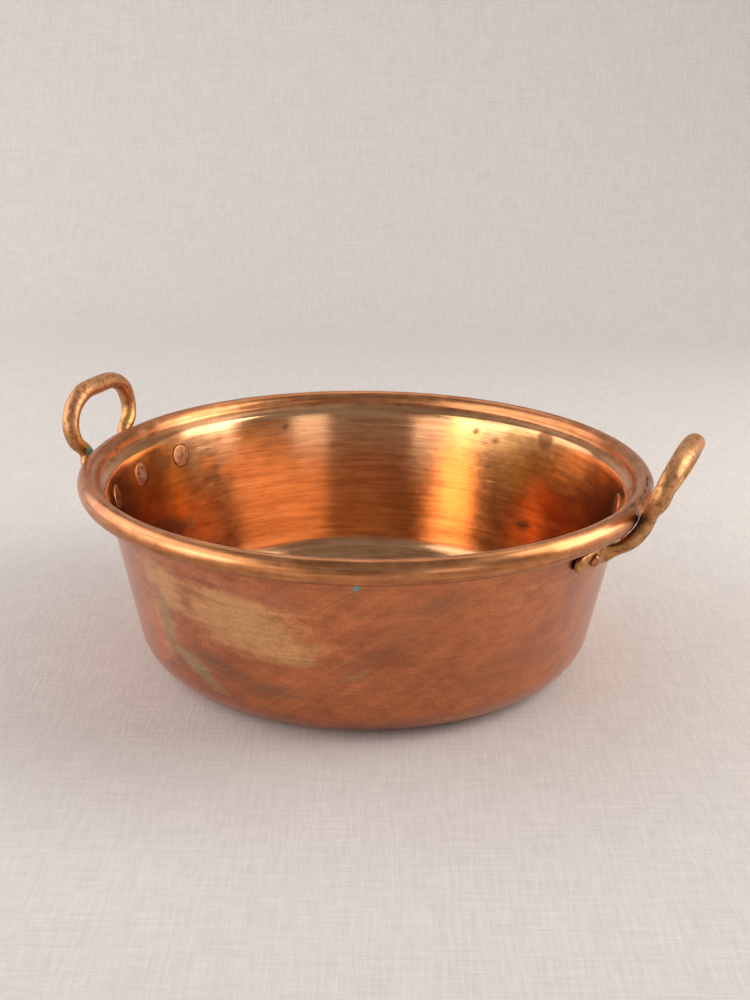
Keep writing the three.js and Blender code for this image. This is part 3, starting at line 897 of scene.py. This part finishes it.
rivetCopper = peenedRivetCopper()
places = {
    "left": {"front": 1, "middle": 0, "rear": -1},
    "right": {"front": -1, "middle": 0, "rear": 1},
}
seed = 30
for side, row in places.items():
    for where, step in row.items():
        angle = radians(handleTurns[side]) + step * rivetArc / wallRadiusAt(strapZ)
        seed += 1
        rubbed = 1.0 if (side, where) == ("left", "middle") else 0.1
        node = "rivet_" + side + "_" + where
        piece = addPiece(node + "_set", rivetMesh(rivet, angle, seed, rubbed), rivetCopper)
        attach(piece, "root")
        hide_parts(node)
print("six rivets set")


# ---- floor, camera and light ----

viewTurn = radians(18.5)  # the camera stands this far round from the front, towards the right handle


def sweepMesh(size, backAt, bendRadius):
    # a floor that turns up into a backdrop in one quarter bend: a profile in (y, z) carried along x
    turn = np.linspace(0, pi / 2, 24)
    y = np.concatenate([[-size], backAt - bendRadius + bendRadius * np.sin(turn), [backAt]])
    z = np.concatenate([[0], bendRadius - bendRadius * np.cos(turn), [size]])
    x = np.linspace(-size, size, 3)[:, None]
    place = np.stack([np.broadcast_to(x, (3, len(y))), np.broadcast_to(y, (3, len(y))),
                      np.broadcast_to(z, (3, len(y)))], axis=-1)
    return meshFromGrid("sweep", place * 1000)


# Bleached linen cloth: a pale warm grey with faint threads both ways and slubs, quite matt. The
# threads are about 1 to 2 mm apart, coarser than real ones so that they show.
def paleLinen():
    material, v = startMaterial("paleLinen")
    turned = (0, 0, -viewTurn)
    v["along"] = addNode(material.node_tree, "Mapping", {"Vector": v["object"], "Rotation": turned})
    v["total"] = 0.0
    for scale in ((900, 60, 60), (60, 900, 900), (420, 25, 25), (25, 420, 420)):
        followRecipe(material, v, [
            ("spot", "place", "along", scale),
            ("threads", "noise", "spot", 1.0, 2.0),
            ("total", "ADD", "total", "threads"),
        ])
    followRecipe(material, v, [
        ("amount", "range", "total", 1.6, 2.4),
        ("colour", "blend", "amount", "#cac2bc", "#d8d0ca"),
        ("bump", "bump", "total", 0.12 * mm),
    ])
    v["metallic"], v["rough"] = 0.0, 0.95
    return finishMaterial(material, v)


sweep = addPiece("backdrop", sweepMesh(3.0, 1.75, 0.72), paleLinen())
sweep.data.transform(Matrix.Rotation(viewTurn, 4, "Z"))

view = {
    "place": (0.006335, -0.94088, 0.43077),  # metres, before it is turned round the pan
    "tilt": 18.90,  # degrees down
    "roll": 0.694,
    "lens": 50.4,
}


def addCamera(v):
    camera = bpy.data.cameras.new("camera")
    camera.lens = v["lens"]
    camera.sensor_width = 36
    body = bpy.data.objects.new("camera", camera)
    bpy.context.scene.collection.objects.link(body)
    tilt, roll = radians(v["tilt"]), radians(v["roll"])
    level, up = Vector((1, 0, 0)), Vector((0, sin(tilt), cos(tilt)))
    sideways = cos(roll) * level + sin(roll) * up
    upwards = cos(roll) * up - sin(roll) * level
    aim = Matrix((sideways, upwards, level.cross(up))).transposed().to_4x4()
    body.matrix_world = Matrix.Rotation(viewTurn, 4, "Z") @ Matrix.Translation(v["place"]) @ aim
    bpy.context.scene.camera = body


addCamera(view)

# Soft window-like lights on both sides, one high behind, and two low white cards beside the camera:
# degrees round from straight behind the pan, clockwise from above; degrees above the floor; metres
# away; width and height in metres; radiance; colour
lights = {
    "leftWindow": (-92, 27, 1.5, (2.6, 1.25), 2.2, "#ffffff"),
    "rightWindow": (90, 29, 1.5, (1.0, 1.25), 5.2, "#fffefa"),
    "backSoft": (15, 60, 2.0, (2.4, 0.9), 1.1, "#ffffff"),
    "leftCard": (-131, 11, 1.5, (1.4, 0.42), 2.2, "#ffffff"),
    "rightCard": (150, 11, 1.5, (0.4, 0.42), 1.6, "#ffffff"),
}
skyColour = "#f3f3f6"
skyStrength = 0.36


def addWindow(name, turn, rise, away, size, radiance, colour):
    light = bpy.data.lights.new(name, "AREA")
    light.shape = "RECTANGLE"
    light.size, light.size_y = size
    light.energy = radiance * pi * size[0] * size[1]
    light.color = toLinear(colour)[:3]
    turn, rise = radians(turn), radians(rise)
    place = away * Vector((sin(turn) * cos(rise), cos(turn) * cos(rise), sin(rise)))
    spin = (-place).to_track_quat("-Z", "Y").to_matrix().to_4x4()
    lamp = bpy.data.objects.new(name, light)
    bpy.context.scene.collection.objects.link(lamp)
    lamp.matrix_world = Matrix.Rotation(viewTurn, 4, "Z") @ Matrix.Translation(place) @ spin


for name, settings in lights.items():
    addWindow(name, *settings)

world = bpy.data.worlds.new("studio")
world.use_nodes = True
world.node_tree.nodes["Background"].inputs["Color"].default_value = toLinear(skyColour)
world.node_tree.nodes["Background"].inputs["Strength"].default_value = skyStrength

bpy.context.scene.world = world
bpy.context.scene.view_settings.view_transform = "Standard"
print("stage, camera and light set")
